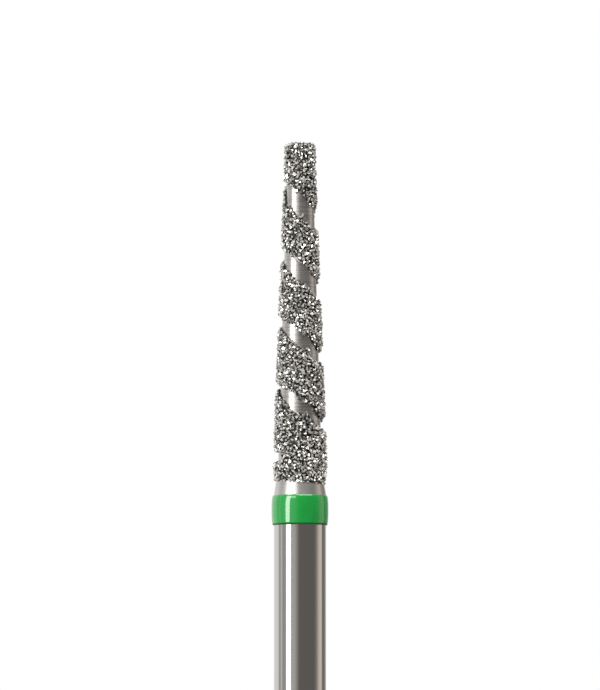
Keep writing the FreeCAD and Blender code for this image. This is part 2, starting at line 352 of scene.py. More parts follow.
def make_diamond_grit():
    """Blocky diamond grit. Light that bounces about inside makes each facet its own grey.

    Diamond's high index makes the facets flash. The facets' greys are painted light, a highlight is
    painted along every edge, and painted shade darkens the grains' sides down towards the nickel.
    """
    finishes = bpy.context.scene.bur_finishes
    material, tree, place = new_material("blocky_diamond_grit")
    tone, corner, rise = (
        add_node(tree, "Attribute", attribute_name=name, attribute_type="GEOMETRY")
        for name in ("facet_tone", "facet_corner", "grain_rise")
    )
    # Each facet's grey is painted light, set at random, for light inside the crystal and for
    # glints.
    tint = add_node(tree, "ValToRGB", links={0: tone.outputs["Fac"]})
    set_stops(tint, [(0.0, finishes.diamond_dark), (1.0, finishes.diamond_light)])
    # How far a point is from its facet's three edges, and from the nearest of them.
    inward = add_node(tree, "SeparateXYZ", links={0: corner.outputs["Vector"]})
    nearest = inward.outputs[0]
    for side in inward.outputs[1:]:
        nearer = add_node(tree, "Math", links={0: nearest, 1: side}, operation="MINIMUM")
        nearest = nearer.outputs[0]
    # A painted highlight runs along each edge, a tenth of a facet wide on each side.
    edge = add_node(tree, "MapRange", {1: 0.05, 2: 0.12, 3: 0.6, 4: 0.0}, {0: nearest})
    painted_edge_highlights = add_node(
        tree,
        "Mix",
        {7: opaque(finishes.diamond_light)},
        {0: edge.outputs[0], 6: tint.outputs["Color"]},
        data_type="RGBA",
    )
    # Painted shade: towards the nickel's bed the grains' colour darkens to 3 % of itself.
    bare = add_node(tree, "MapRange", {1: 0.25, 2: 0.65, 3: 0.03}, {0: rise.outputs["Fac"]})
    shaded = add_node(
        tree, "VectorMath", links={0: painted_edge_highlights.outputs[2], "Scale": bare.outputs[0]}, operation="SCALE"
    )
    # Growth steps on the facets, about 0.02 mm apart, two to a wave of the noise.
    normal = add_relief(tree, place, 0.04 * MM, 2.0, 1.5 * MICRON)[1]
    shader = add_node(
        tree,
        "BsdfPrincipled",
        {"Metallic": 0.5, "Roughness": 0.15, "IOR": 2.42},
        {"Base Color": shaded.outputs[0], "Normal": normal},
    )
    return finish_surface(material, shader)


def make_floor_board():
    """Matt white board with a fine tooth, which fades out away from the bur.

    There the camera sees the plain white behind it, and the polished steel mirrors the gauze.
    """
    studio = bpy.context.scene.bur_studio
    material, tree, place = new_material("matt_white_board")
    normal = add_relief(tree, place, 0.5 * MM, 3.0, 5 * MICRON, strength=0.2)[1]
    board = add_node(
        tree,
        "BsdfPrincipled",
        {"Base Color": opaque(studio.floor), "Roughness": 0.9},
        {"Normal": normal},
    )
    away = add_node(tree, "VectorMath", links={0: place}, operation="LENGTH")
    fade = add_node(
        tree,
        "MapRange",
        {1: 0.25 * studio.floor_radius, 2: 0.95 * studio.floor_radius},
        {0: away.outputs["Value"]},
        interpolation_type="SMOOTHSTEP",
    )
    clear = add_node(tree, "BsdfTransparent")
    shader = add_node(
        tree, "MixShader", links={0: fade.outputs[0], 1: board.outputs[0], 2: clear.outputs[0]}
    )
    return finish_surface(material, shader)


# Meshes


def place_mesh(name, points, faces, material, smooth):
    """Makes an object from points and faces, in place of any earlier one of that name."""
    earlier = bpy.data.objects.get(name)
    if earlier:
        bpy.data.objects.remove(earlier)
    mesh = bpy.data.meshes.new(name)
    mesh.from_pydata(points, [], faces)
    mesh.polygons.foreach_set("use_smooth", [smooth] * len(mesh.polygons))
    mesh.materials.append(material)
    mesh.validate()
    mesh.update()
    piece = bpy.data.objects.new(name, mesh)
    bpy.context.scene.collection.objects.link(piece)
    return piece


def fit_piece(piece, node):
    """Rides a piece on the bur's one body, in place of a CAD node, which it hides."""
    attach(piece, "root")
    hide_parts(node)


def round_corner(before, corner, after, radius, steps):
    """The points that round a profile's corner, with one beside each end to keep shading flat."""
    to_before = (before - corner).normalized()
    to_after = (after - corner).normalized()
    half = to_before.angle(to_after) / 2
    reach = radius / math.tan(half)
    centre = corner + (to_before + to_after).normalized() * (radius / math.sin(half))
    start = corner + to_before * reach
    end = corner + to_after * reach
    points = [start + to_before * (0.5 * radius)]
    for step in range(steps + 1):
        along = step / steps
        swept = (start - centre).lerp(end - centre, along)
        points.append(centre + swept.normalized() * radius)
    points.append(end + to_after * (0.5 * radius))
    return points


def rounded_profile(corners, radius):
    """A half-profile from the axis to the axis, as 2-D points, with its inner corners rounded."""
    spots = [Vector(corner) for corner in corners]
    profile = [spots[0]]
    for before, corner, after in zip(spots, spots[1:], spots[2:]):
        profile += round_corner(before, corner, after, radius, 5)
    return profile + [spots[-1]]


def ring_points(radius, z, facets):
    """The points of a ring round Z."""
    turns = [FULL_TURN * step / facets for step in range(facets)]
    return [(radius * math.cos(turn), radius * math.sin(turn), z) for turn in turns]


def lathe(profile, facets, closed=False):
    """Points and faces of a profile turned round Z.

    The profile starts and ends on the axis, or else it is closed.
    """
    turned = profile if closed else profile[1:-1]
    points = [point for radius, z in turned for point in ring_points(radius, z, facets)]
    loops = len(turned)
    faces = []
    for loop in range(loops if closed else loops - 1):
        here, above = loop * facets, (loop + 1) % loops * facets
        for step in range(facets):
            following = (step + 1) % facets
            faces.append((here + step, here + following, above + following, above + step))
    if not closed:
        low, high = len(points), len(points) + 1
        points += [(0.0, 0.0, profile[0][1]), (0.0, 0.0, profile[-1][1])]
        last = (loops - 1) * facets
        for step in range(facets):
            following = (step + 1) % facets
            faces.append((low, following, step))
            faces.append((high, last + step, last + following))
    return points, faces


def make_blank():
    """Shank, neck and core as one turned piece with softened edges."""
    sizes = bpy.context.scene.bur_blank
    core_base = sizes.shank_length + sizes.neck_length
    core_tip = core_base + sizes.core_length
    corners = [
        (0.0, 0.0),
        (sizes.shank_radius - sizes.shank_chamfer, 0.0),
        (sizes.shank_radius, sizes.shank_chamfer),
        (sizes.shank_radius, sizes.shank_length),
        (sizes.core_base_radius, core_base),
        (sizes.core_tip_radius, core_tip),
        (0.0, core_tip),
    ]
    points, faces = lathe(rounded_profile(corners, sizes.edge_break), sizes.facets)
    return place_mesh("steel_blank_turned", points, faces, make_turned_steel(), True)


def make_ring():
    """The lacquer band: a barrel with full shoulders that feathers out on the shank."""
    blank = bpy.context.scene.bur_blank
    sizes = bpy.context.scene.bur_ring
    middle = blank.shank_length - sizes.width / 2
    power = 2 / sizes.squareness
    steps = 36
    profile = []
    for step in range(steps + 1):
        turn = math.pi * (step / steps - 0.5)
        rise = math.copysign(abs(math.sin(turn)) ** power, turn)
        wall = (sizes.wall - sizes.bulge * rise**2) * abs(math.cos(turn)) ** power
        profile.append((blank.shank_radius + wall, middle + rise * sizes.width / 2))
    points, faces = lathe(profile, blank.facets, closed=True)
    return place_mesh("colour_ring_lacquer", points, faces, make_lacquer(), True)


# The coated head


# The strip's ragged edges. Each entry has a number of turns from the strip's start, and how far
# the strip then reaches above and below its middle, as shares of half its width. Where the two
# cancel out, there is no strip.
STRIP_EDGES = [
    (0, -1, 1), (0.14, 1, 1), (0.36, 1, 1), (0.42, 0.6, 0.1),
    (0.48, 0.7, -0.1), (0.51, 0.85, 0.3), (0.54, 1.02, 1.78), (0.6, 1.16, 1.33),
    (0.63, 1.29, 1.11), (0.67, 1.29, 1.47), (0.7, 1.11, 1.6), (0.74, 1.29, 1.24),
    (0.78, 1.2, 0.71), (0.8, 1.07, 1.33), (0.82, 0.67, 1.73), (0.9, 0.98, 1.73),
    (0.95, 1.42, 1.3), (1, 1.9, 0.6), (1.04, 1.8, 0.6), (1.12, 1.2, 1),
    (1.3, 0.95, 1.1), (1.49, 0.75, 0.9), (1.53, 0.89, 0.62), (1.58, 0.98, 0.84),
    (1.62, 1.29, 0.84), (1.66, 1.2, 0.93), (1.7, 1.2, 1.24), (1.73, 1.02, 1.07),
    (1.79, 1.29, 1.11), (1.82, 0.93, 1.38), (1.86, 0.84, 1.51), (1.9, 0.58, 1.78),
    (1.95, 1.2, 1.55), (2, 1.55, 1.15), (2.04, 1.5, 1.1), (2.12, 1.1, 1),
    (2.3, 1.05, 0.9), (2.44, 0.9, 0.75), (2.54, 0.84, 0.44), (2.59, 0.84, 0.53),
    (2.62, 1.07, 0.62), (2.66, 1.24, 0.71), (2.7, 1.24, 0.93), (2.73, 0.98, 0.8),
    (2.76, 0.44, 0.8), (2.79, 0.58, 0.58), (2.81, 0.89, 0.49), (2.83, 0.93, 1.6),
    (2.86, 0.62, 1.6), (2.89, 0.22, 1.38), (2.92, 0.1, 1.29), (2.95, 0.55, 0.98),
    (3, 1, 0.76), (3.12, 1, 0.95), (3.34, 0.95, 1), (3.41, 0.6, 0.2),
    (3.46, 0.6, -0.05), (3.5, 0.8, 0), (3.54, 1.07, 0.27), (3.59, 1.16, 0.4),
    (3.63, 1.16, 0.49), (3.66, 1.29, 0.84), (3.69, 1.24, 1.02), (3.72, 1.02, 0.76),
    (3.75, 0.58, 0.89), (3.77, 0.62, 0.36), (3.8, 0.89, 0.02), (3.82, 0.8, 0.67),
    (3.85, 0.71, 1.11), (3.88, 0.44, 1.2), (3.91, 0.1, 1.16), (3.95, 0.35, 0.89),
    (4, 0.85, 0.5), (4.12, 0.9, 0.9), (4.3, 0.85, 0.85), (4.49, 0.75, 0.68),
    (4.55, 1.24, 0), (4.58, 1.3, -0.45), (4.61, 1, -1),
]


def between(at, low, high, at_low, at_high):
    """The value at a height on the straight line from (low, at_low) to (high, at_high)."""
    return at_low + (at_high - at_low) * (at - low) / (high - low)


class HeadForm:
    """The radii of steel and coating at each height, and the course of the bare strip."""

    def __init__(self):
        self.blank = bpy.context.scene.bur_blank
        self.coat = bpy.context.scene.bur_coat
        self.core_base = self.blank.shank_length + self.blank.neck_length
        self.core_tip = self.core_base + self.blank.core_length
        self.foot = self.core_base - self.coat.overrun
        self.full = self.foot + self.coat.foot_height
        self.top = self.core_tip + self.coat.end_thickness
        self.rim = self.top - self.coat.corner_radius
        self.strip_start = self.top - self.coat.strip_start_drop

    def steel_radius(self, z):
        """Radius of the neck or of the tapered core at a height."""
        blank = self.blank
        if z < self.core_base:
            waist = blank.core_base_radius
            return between(z, blank.shank_length, self.core_base, blank.shank_radius, waist)
        radii = blank.core_base_radius, blank.core_tip_radius
        return between(z, self.core_base, self.core_tip, *radii)

    def coat_radius(self, z):
        """Mean outer radius of the coating, which thins towards the tip and out onto the neck."""
        coat = self.coat
        if z < self.full:
            foot_radius = self.steel_radius(self.foot) + coat.foot_thickness
            full_radius = self.steel_radius(self.full) + coat.base_thickness
            return between(z, self.foot, self.full, foot_radius, full_radius)
        thickness = between(z, self.full, self.top, coat.base_thickness, coat.tip_thickness)
        return self.steel_radius(z) + thickness

    def dome_fall(self, radius, z):
        """How far the flat end has fallen at a radius, so that it is slightly domed."""
        near = max(0.0, between(z, self.rim, self.top, 0, 1))
        return near * self.coat.end_dome * (radius / self.coat_radius(self.rim)) ** 2

    def foot_height(self, turn):
        """Height of the coating's lower edge at an angle."""
        return self.foot - self.coat.foot_slant * math.cos(turn)

    def strip_middle(self, turns):
        """Height of the strip's middle after a number of turns."""
        return self.strip_start - self.coat.strip_pitch * turns

    def strip_reach(self, turns):
        """How far the strip reaches above and below its middle, or None where there is none."""
        half = self.coat.strip_width / 2
        for (start, *low), (end, *high) in zip(STRIP_EDGES, STRIP_EDGES[1:]):
            if start <= turns < end:
                above, below = (half * between(turns, start, end, a, b) for a, b in zip(low, high))
                return (above, below) if above + below > 0 else None
        return None

    def strip_gap(self, turn, z):
        """Distance from a point of the head to the bare strip's edge, less than 0 on the strip."""
        first = (turn - self.coat.strip_start_angle) % FULL_TURN / FULL_TURN
        nearest = math.inf
        for turns in range(math.ceil(STRIP_EDGES[-1][0])):
            reach = self.strip_reach(first + turns)
            if reach:
                offset = z - self.strip_middle(first + turns)
                nearest = min(nearest, max(offset - reach[0], -reach[1] - offset))
        fall = self.coat.strip_pitch / (FULL_TURN * self.coat_radius(z))
        return nearest / math.hypot(1, fall)


class PlatingSkin:
    """The nickel between the grains, as a closed shell round the core.

    Its outside is laid like a tape wound round the head, one turn to each pitch of the bare strip,
    so that the strip's edges run along the tape's. Its inside is that skin, drawn onto the steel.
    """

    UPPER_EDGE, LOWER_EDGE, FIRST_ROW = range(3)
    RINGS = ("rim", "lower bend", "bend", "upper bend", "end")
    COLUMNS = 96
    BED_ROWS = 22
    INTO_STEEL = 0.004 * MM
    OVER_STEEL = 0.01 * MM
    WALL_WIDTH = 0.015 * MM
    # Where there is no strip, its edges lie this share of a row's spacing from its middle.
    CLOSED_REACH = 0.4

    def __init__(self, form, sizes):
        self.form = form
        self.sizes = sizes
        self.chance = random.Random(sizes.seed)
        self.rows = self.FIRST_ROW + self.BED_ROWS + 1
        self.spacing = (form.coat.strip_pitch - form.coat.strip_width) / self.BED_ROWS
        self.points = []
        self.faces = []
        self.on_steel = set()
        self.placed = {}

    def point(self, radius, turn, z):
        """Adds a point, given round the Z axis, and returns its number."""
        self.points.append((radius * math.cos(turn), radius * math.sin(turn), z))
        return len(self.points) - 1

    def turn(self, column):
        """The angle of a column."""
        return self.form.coat.strip_start_angle + FULL_TURN * column / self.COLUMNS

    def steel_point(self, column, z):
        """A point of the skin's open edge, just inside the steel."""
        radius = self.form.steel_radius(z) - self.INTO_STEEL
        number = self.point(radius, self.turn(column), z)
        self.on_steel.add(number)
        return number

    def bed_point(self, column, z):
        """A point of the nickel's uneven surface."""
        ripple = self.chance.uniform(-1, 1) * self.sizes.bed_ripple
        bed = self.form.coat_radius(z) - self.sizes.bed_depth + ripple
        steel = self.form.steel_radius(z) + self.OVER_STEEL
        return self.point(max(bed, steel), self.turn(column), z)

    def row_height(self, column, row):
        """Height of a row of the tape at a column."""
        form = self.form
        middle = form.strip_middle(column / self.COLUMNS)
        here = form.strip_reach(column / self.COLUMNS)
        inset = self.sizes.wall_inset
        closed = self.CLOSED_REACH * self.spacing - inset
        above, below = here or (closed, closed)
        if row == self.UPPER_EDGE:
            return middle + above + inset
        if row == self.LOWER_EDGE:
            return middle - below - inset
        ahead = form.strip_reach(column / self.COLUMNS + 1)
        inset += self.WALL_WIDTH
        first = middle - (below + inset if here else self.spacing)
        last = middle - form.coat.strip_pitch
        last += ahead[0] + inset if ahead else self.spacing
        return between(row - self.FIRST_ROW, 0, self.BED_ROWS, first, last)

    def tape_point(self, column, row):
        """The number of the point at a column and row, placed when it is first asked for."""
        if row == self.rows:
            return self.tape_point(column + self.COLUMNS, self.UPPER_EDGE)
        z = self.row_height(column, row)
        if z > self.form.rim - self.spacing / 2:
            return self.placed["rim", column % self.COLUMNS]
        if z < self.form.foot_height(self.turn(column)) + self.spacing / 2:
            return self.placed["foot", column % self.COLUMNS]
        if (column, row) not in self.placed:
            on_edge = row in (self.UPPER_EDGE, self.LOWER_EDGE)
            if on_edge and self.form.strip_reach(column / self.COLUMNS):
                self.placed[column, row] = self.steel_point(column, z)
            else:
                self.placed[column, row] = self.bed_point(column, z)
        return self.placed[column, row]

    def add_face(self, *corners):
        """Adds a face from the corners that differ."""
        distinct = [c for at, c in enumerate(corners) if c != corners[at - 1]]
        if len(set(distinct)) > 2:
            self.faces.append(tuple(distinct))

    def place_ends(self):
        """Places the rings round the corner and on the flat end, and the foot on the neck."""
        form, depth = self.form, self.sizes.bed_depth
        corner = form.coat.corner_radius
        side = form.coat_radius(form.rim)
        for column in range(self.COLUMNS):
            turn = self.turn(column)
            for step, ring in enumerate(self.RINGS):
                bend = math.pi / 2 * step / (len(self.RINGS) - 1)
                radius = side - corner + (corner - depth) * math.cos(bend)
                z = form.rim + (corner - depth) * math.sin(bend)
                self.placed[ring, column] = self.point(radius, turn, z)
            self.placed["foot", column] = self.steel_point(column, form.foot_height(turn))
        self.placed["end centre"] = self.point(0, 0, form.top - depth)

    def join_ends(self):
        """Joins the rings of the corner and of the flat end."""
        for column in range(self.COLUMNS):
            nearby = (column + 1) % self.COLUMNS
            for low, high in zip(self.RINGS, self.RINGS[1:]):
                spots = self.placed[low, column], self.placed[low, nearby]
                self.add_face(*spots, self.placed[high, nearby], self.placed[high, column])
            edge = self.placed["end", column], self.placed["end", nearby]
            self.add_face(*edge, self.placed["end centre"])

    def lay_tape(self):
        """Winds the outside from above the rim to below the foot, leaving out the bare strip."""
        form = self.form
        above = math.ceil((form.top - form.strip_start) / form.coat.strip_pitch) + 1
        below = math.ceil((form.strip_start - form.foot) / form.coat.strip_pitch) + 1
        for column in range(-above * self.COLUMNS, below * self.COLUMNS):
            bare = all(form.strip_reach((column + n) / self.COLUMNS) for n in (0, 1))
            for row in range(1 if bare else 0, self.rows):
                upper = self.tape_point(column, row), self.tape_point(column + 1, row)
                lower = self.tape_point(column, row + 1), self.tape_point(column + 1, row + 1)
                self.add_face(upper[0], lower[0], lower[1], upper[1])

    def close_inside(self):
        """Repeats the skin on the steel, inside out, from the edges that already lie there."""
        inside = {}
        for number, (x, y, z) in enumerate(list(self.points)):
            if number in self.on_steel:
                inside[number] = number
                continue
            z = min(z, self.form.core_tip - self.INTO_STEEL)
            far = math.hypot(x, y)
            near = min(far, self.form.steel_radius(z) - self.INTO_STEEL)
            scale = near / far if far else 0.0
            self.points.append((x * scale, y * scale, z))
            inside[number] = len(self.points) - 1
        for face in list(self.faces):
            self.faces.append(tuple(inside[corner] for corner in reversed(face)))

    def build(self):
        """Points and faces of the shell."""
        self.place_ends()
        self.lay_tape()
        self.join_ends()
        self.close_inside()
        return self.points, self.faces


def make_plating():
    """The nickel layer that holds the grains."""
    skin = PlatingSkin(HeadForm(), bpy.context.scene.bur_grains)
    points, faces = skin.build()
    return place_mesh("nickel_plating", points, faces, make_nickel(), True)


CRYSTAL_SHAPES = 24
CRYSTAL_CORNERS = 8
CORNER_SPACING = 0.9


def crystal(chance):
    """One blocky crystal of unit width, as points and triangles: a hull of points on a ball."""
    directions = []
    while len(directions) < CRYSTAL_CORNERS:
        spot = Vector([chance.gauss(0, 1) for _ in range(3)]).normalized()
        if all((spot - other).length > CORNER_SPACING for other in directions):
            directions.append(spot)
    stretch = [chance.uniform(0.75, 1.25) for _ in range(3)]
    hull = bmesh.new()
    for spot in directions:
        reach = 0.5 * chance.uniform(0.9, 1.2)
        hull.verts.new([reach * s * v for s, v in zip(stretch, spot)])
    made = bmesh.ops.convex_hull(hull, input=hull.verts)
    loose = [v for v in made["geom_interior"] if isinstance(v, bmesh.types.BMVert)]
    bmesh.ops.delete(hull, geom=loose, context="VERTS")
    bmesh.ops.recalc_face_normals(hull, faces=hull.faces)
    hull.verts.index_update()
    points = [v.co.copy() for v in hull.verts]
    faces = [tuple(v.index for v in face.verts) for face in hull.faces]
    hull.free()
    return points, faces


class GrainScatter:
    """Grains laid over the coated surface, the largest first, each clear of the others' middles."""

    TRIES = 60000
    # How near two middles come, as a share of the grains' mean width.
    CROWDING = 0.72
    # The tops' range, as shares of the relief.
    TOPS = (-1.2, 0.5)
    # Shares of a grain's width: from its top to its middle, and its room from foot and strip.
    SUNK = 0.44
    FOOT_ROOM = 0.1
    STRIP_ROOM = 0.35
    # The share of the coating's thickness that a grain sinks at the bare strip's edge.
    SHOULDER_SINK = 0.6
    CORNER_STEPS = 8

    def __init__(self, form, sizes):
        self.form = form
        self.sizes = sizes
        self.chance = random.Random(sizes.seed)
        self.cell = sizes.largest * self.CROWDING
        self.cells = {}
        self.grains = []
        self.outline = self.outline_points()
        self.areas = self.outline_areas()

    def outline_points(self):
        """The coating's half-profile from its foot, round the corner, to the axis."""
        form = self.form
        corner = form.coat.corner_radius
        side = form.coat_radius(form.rim) - corner
        foot = form.foot - form.coat.foot_slant
        points = [(form.coat_radius(z), z) for z in (foot, form.full, form.rim)]
        for step in range(1, self.CORNER_STEPS + 1):
            bend = math.pi / 2 * step / self.CORNER_STEPS
            points.append((side + corner * math.cos(bend), form.rim + corner * math.sin(bend)))
        points.append((0.0, form.top))
        return [(radius, z - form.dome_fall(radius, z)) for radius, z in points]

    def outline_areas(self):
        """The area that each stretch of the profile sweeps, added up from the foot."""
        total, areas = 0.0, []
        for (r0, z0), (r1, z1) in zip(self.outline, self.outline[1:]):
            total += (r0 + r1) * math.hypot(r1 - r0, z1 - z0)
            areas.append(total)
        return areas

    def random_spot(self):
        """A random point of the profile, by swept area, with the direction out of the surface."""
        pick = self.chance.random() * self.areas[-1]
        stretch = next(n for n, area in enumerate(self.areas) if pick <= area)
        (r0, z0), (r1, z1) = self.outline[stretch], self.outline[stretch + 1]
        along = self.chance.random()
        if r1 < r0 and self.chance.random() > min(1.0, 2 * (r0 + (r1 - r0) * along) / (r0 + r1)):
            along = 1 - along
        reach = math.hypot(r1 - r0, z1 - z0)
        outward = (z1 - z0) / reach, (r0 - r1) / reach
        return r0 + (r1 - r0) * along, z0 + (z1 - z0) * along, outward

    def crowded(self, spot, width):
        """Whether another grain's middle is too near."""
        home = tuple(math.floor(v / self.cell) for v in spot)
        for step in itertools.product((-1, 0, 1), repeat=3):
            cell = tuple(at + to for at, to in zip(home, step))
            for other, other_width in self.cells.get(cell, ()):
                if (other - spot).length < self.CROWDING * (width + other_width) / 2:
                    return True
        self.cells.setdefault(home, []).append((spot, width))
        return False

    def shoulder_depth(self, gap, z):
        """How much deeper a grain lies that is this far from the bare strip."""
        thickness = self.form.coat_radius(z) - self.form.steel_radius(z)
        nearness = max(0.0, 1 - gap / self.sizes.shoulder)
        return self.SHOULDER_SINK * thickness * nearness**2

    def lay(self):
        """The grains, each as (middle, width, extra depth at the strip's shoulder)."""
        sizes, form = self.sizes, self.form
        for attempt in range(self.TRIES):
            narrowing = (attempt / self.TRIES) ** 0.5
            width = between(narrowing, 0, 1, sizes.largest, sizes.smallest)
            width *= self.chance.uniform(0.9, 1.1)
            radius, z, (out_r, out_z) = self.random_spot()
            turn = self.chance.random() * FULL_TURN
            top = self.chance.uniform(*self.TOPS) * sizes.relief
            if z < form.foot_height(turn) + self.FOOT_ROOM * width:
                continue
            gap = form.strip_gap(turn, z)
            if gap < self.STRIP_ROOM * width:
                continue
            shoulder = self.shoulder_depth(gap, z)
            sunk = top - self.SUNK * width - shoulder
            radius += sunk * out_r
            z += sunk * out_z
            spot = Vector((radius * math.cos(turn), radius * math.sin(turn), z))
            if not self.crowded(spot, width):
                self.grains.append((spot, width, shoulder))
        return self.grains


def grain_rise(form, sizes, spot, shoulder):
    """How far a grain's point stands out, from 0 at the nickel's bed to 1 at the mean surface."""
    corner = form.coat.corner_radius
    radius = math.hypot(spot.x, spot.y)
    side = max(0.0, corner + radius - form.coat_radius(spot.z))
    end = max(0.0, corner + spot.z - form.top + form.dome_fall(radius, spot.z))
    out = math.hypot(side, end) - corner + shoulder
    return min(1.0, max(0.0, 1 + out / sizes.bed_depth))


# How alike the facets of one grain are, and by which power all facets darken.
LIKENESS = 0.15
DARKENING = 1.15


def facet_tone(luck):
    """A facet's lightness from an even random number: most facets are either dark or light."""
    light, dark = luck**3, (1 - luck) ** 3
    return (light / (light + dark)) ** DARKENING


def make_grains():
    """The diamond grains, as one piece of many flat-sided crystals."""
    sizes = bpy.context.scene.bur_grains
    form = HeadForm()
    chance = random.Random(sizes.seed + 1)
    crystals = [crystal(chance) for _ in range(CRYSTAL_SHAPES)]
    points, faces, rises, tones = [], [], [], []
    for middle, width, shoulder in GrainScatter(form, sizes).lay():
        shape, facets = chance.choice(crystals)
        tilt = Euler([chance.uniform(0, FULL_TURN) for _ in range(3)]).to_matrix() * width
        first = len(points)
        spots = [tilt @ spot + middle for spot in shape]
        points += [tuple(spot) for spot in spots]
        rises += [grain_rise(form, sizes, spot, shoulder) for spot in spots]
        faces += [tuple(first + corner for corner in facet) for facet in facets]
        # Each facet gets a random painted grey that stands for light inside the crystal.
        own = LIKENESS * chance.random()
        tones += [facet_tone(own + (1 - LIKENESS) * chance.random()) for _ in facets]
    piece = place_mesh("diamond_grains", points, faces, make_diamond_grit(), False)
    for name, domain, values in (("grain_rise", "POINT", rises), ("facet_tone", "FACE", tones)):
        kept = piece.data.attributes.new(name, "FLOAT", domain)
        kept.data.foreach_set("value", values)
    corners = piece.data.attributes.new("facet_corner", "FLOAT_VECTOR", "CORNER")
    corners.data.foreach_set("vector", [1, 0, 0, 0, 1, 0, 0, 0, 1] * len(faces))
    return piece


# The studio


# How the gauze tones the white behind it, by the angle round the bur. 0 is the camera's side and
# minus is left. The polished steel mirrors it as upright bands.
GAUZE_TONES = [
    (-180, "F0F0F0"), (-168, "FCFCFC"), (-112, "FCFCFC"), (-104, "B4B4B4"),
    (-98, "B4B4B4"), (-92, "DCDCDC"), (-87, "DCDCDC"), (-82, "ACACAC"),
    (-72, "ACACAC"), (-66, "C8C8C8"), (-36, "C8C8C8"), (-25, "C4C2C0"),
    (-18, "B4B2B0"), (-10, "908E8C"), (-2, "706E6C"), (66, "706E6C"),
    (75, "8C8A88"), (82, "A8A09A"), (90, "DCD2C8"), (109, "F0E6DC"),
    (117, "7A7876"), (126, "7A7876"), (133, "949496"), (148, "98989A"),
    (158, "F0F0F0"),
]


def make_world():
    """Plain white all round. The camera sees it bare, and all else sees it through the gauze."""
    world = bpy.data.worlds.new("studio")
    bpy.context.scene.world = world
    world.use_nodes = True
    tree = world.node_tree
    tree.nodes.clear()
    white = {"Color": opaque((1.0, 1.0, 1.0)), "Strength": 1.0}
    light = add_node(tree, "Background", white)
    add_node(tree, "OutputWorld", links={"Surface": light.outputs[0]})


def make_gauze():
    """Grey gauze of several depths, which tones the white that shines through it onto the bur.

    It is nearly clear behind the bur, deep in front of it and pale above and below.
    """
    material, tree, place = new_material("grey_gauze")
    away = add_node(tree, "VectorMath", links={0: place}, operation="NORMALIZE")
    axes = add_node(tree, "SeparateXYZ", links={0: away.outputs[0]})
    forward = add_node(tree, "Math", {1: -1.0}, {0: axes.outputs["Y"]}, operation="MULTIPLY")
    around = add_node(
        tree, "Math", links={0: axes.outputs["X"], 1: forward.outputs[0]}, operation="ARCTAN2"
    )
    turn = add_node(tree, "MapRange", {1: -math.pi, 2: math.pi}, {0: around.outputs[0]})
    walls = add_node(tree, "ValToRGB", links={0: turn.outputs[0]})
    set_stops(walls, [((at + 180) / 360, linear(code)) for at, code in GAUZE_TONES])
    steep = add_node(tree, "Math", links={0: axes.outputs["Z"]}, operation="ABSOLUTE")
    rise = add_node(tree, "MapRange", {1: 0.55, 2: 0.85}, {0: steep.outputs[0]})
    depth = add_node(
        tree,
        "Mix",
        {7: opaque(linear("E0E0E0"))},
        {0: rise.outputs[0], 6: walls.outputs["Color"]},
        data_type="RGBA",
    )
    gauze = add_node(tree, "BsdfTransparent", links={"Color": depth.outputs[2]})
    return finish_surface(material, gauze)


def hang_gauze():
    """The gauze, as a ball round the whole studio and its lamps, which the camera doesn't see."""
    radius = bpy.context.scene.bur_studio.gauze_distance
    steps = 24
    rises = [math.pi * (step / steps - 0.5) for step in range(steps + 1)]
    profile = [(radius * math.cos(rise), radius * math.sin(rise)) for rise in rises]
    points, faces = lathe(profile, 2 * steps)
    gauze = place_mesh("gauze", points, faces, make_gauze(), False)
    gauze.visible_camera = False


def around_axis(distance, degrees, rise):
    """A point at a distance from the bur's middle, by its angle round the axis and its rise."""
    turn, up = math.radians(degrees), math.radians(rise)
    level = distance * math.cos(up)
    return Vector((level * math.sin(turn), -level * math.cos(turn), distance * math.sin(up)))


def hang_lamp(name, turn, rise, width, height, lean, level):
    """A flat soft light that faces the bur, by its angles in degrees, as the bur sees it."""
    studio = bpy.context.scene.bur_studio
    distance = studio.lamp_distance
    lamp = bpy.data.lights.new(name, "AREA")
    lamp.shape = "RECTANGLE"
    lamp.size = 2 * distance * math.tan(math.radians(width / 2))
    lamp.size_y = 2 * distance * math.tan(math.radians(height / 2))
    # A flat lamp of radiance L gives off pi times L for each square metre.
    lamp.energy = level * math.pi * lamp.size * lamp.size_y
    holder = bpy.data.objects.new(name, lamp)
    bpy.context.scene.collection.objects.link(holder)
    away = around_axis(distance, turn, rise)
    holder.location = Vector((0, 0, studio.aim_height)) + away
    facing = away.to_track_quat("Z", "Y").to_matrix()
    leaning = Euler((0, 0, math.radians(lean))).to_matrix()
    holder.rotation_mode = "QUATERNION"
    holder.rotation_quaternion = (facing @ leaning).to_quaternion()
    holder.visible_camera = False


def hang_lamps():
    """A tall softbox at the front left, the bright band on the steel, a panel and one overhead."""
    studio = bpy.context.scene.bur_studio
    hang_lamp("softbox", -51.0, 5.0, 18.0, 46.0, -6.0, studio.softbox_level)
    hang_lamp("panel", -30.0, 23.0, 24.0, 14.0, 0.0, studio.panel_level)
    hang_lamp("overhead", 30.0, 58.0, 50.0, 36.0, 0.0, studio.overhead_level)


def lay_floor():
    """A round white board under the bur."""
    radius = bpy.context.scene.bur_studio.floor_radius
    rings, facets = 12, 96
    points, faces = [], []
    for step in range(1, rings + 1):
        points += ring_points(radius * (step / rings) ** 2, 0.0, facets)
    for ring in range(rings - 1):
        for step in range(facets):
            following = (step + 1) % facets
            here, out = ring * facets, (ring + 1) * facets
            faces.append((here + following, here + step, out + step, out + following))
    faces.append(tuple(range(facets)))
    floor = place_mesh("floor", points, faces, make_floor_board(), False)


